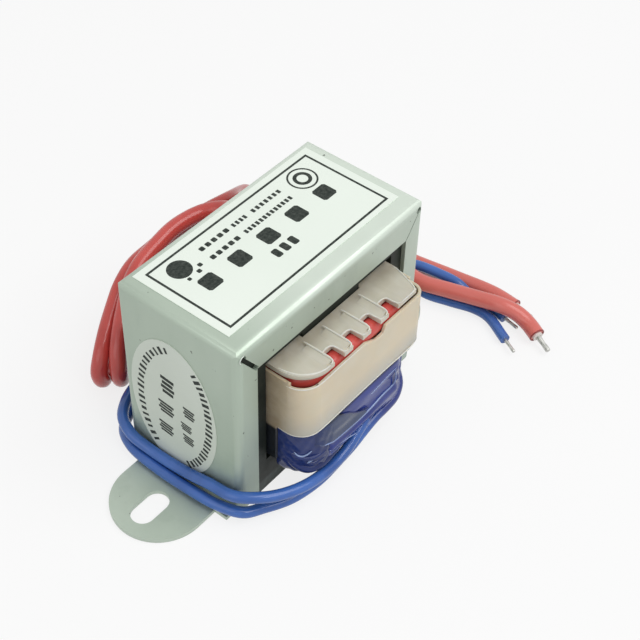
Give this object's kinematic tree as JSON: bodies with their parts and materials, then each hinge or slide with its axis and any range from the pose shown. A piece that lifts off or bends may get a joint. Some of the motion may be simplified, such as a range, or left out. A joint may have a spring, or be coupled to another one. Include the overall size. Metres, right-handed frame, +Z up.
{
  "type": "laminated chassis-mount mains transformer",
  "caption": "Small EI-core mains transformer in a folded steel channel frame with slotted feet, a two-section coil in a cream cover, blue primary and red secondary flying leads",
  "frame": {"origin": "on the mounting plane, under the middle of the frame and core", "axes": "+X along the frame from foot to foot, +Y to the back (the coil's front, where the primary leads leave, faces -Y), +Z up from the mounting plane"},
  "size_m": [0.0779, 0.0617, 0.0351],
  "materials": {
    "zinc_steel": "zinc-plated sheet, satin",
    "varnished_core": "dark varnished silicon steel",
    "cream_nylon": "natural nylon, slightly translucent",
    "enamelled_copper": "enamelled copper wire",
    "blue_tape": "glossy polyester tape",
    "cream_tape": "pale polyester tape",
    "blue_pvc": "satin PVC insulation",
    "red_pvc": "satin PVC insulation",
    "tinned_copper": "tinned twisted strands",
    "white_label": "printed paper label",
    "silver_label": "printed silver-grey sticker",
    "white_pvc": "white inner insulation"
  },
  "bodies": {
    "root": {"frame": "zinc_steel", "upright_e_sheets": "varnished_core", "inverted_e_sheets": "varnished_core", "lower_i_sheets": "varnished_core", "upper_i_sheets": "varnished_core", "bobbin": "cream_nylon", "coil_cover": "cream_nylon", "primary_winding": "enamelled_copper", "secondary_winding": "enamelled_copper", "primary_tape": "blue_tape", "secondary_tape": "cream_tape", "primary_lead_turns": "blue_pvc", "secondary_lead_turns": "red_pvc", "winding_ends": "tinned_copper", "top_label": "white_label", "end_label": "silver_label", "blue_lead_a": "blue_pvc", "blue_lead_b": "blue_pvc", "red_lead_a": "red_pvc", "red_lead_b": "red_pvc", "blue_strands_a": "tinned_copper", "blue_strands_b": "tinned_copper", "red_liners": "white_pvc", "red_strands_a": "tinned_copper", "red_strands_b": "tinned_copper"}
  },
  "joints": []
}
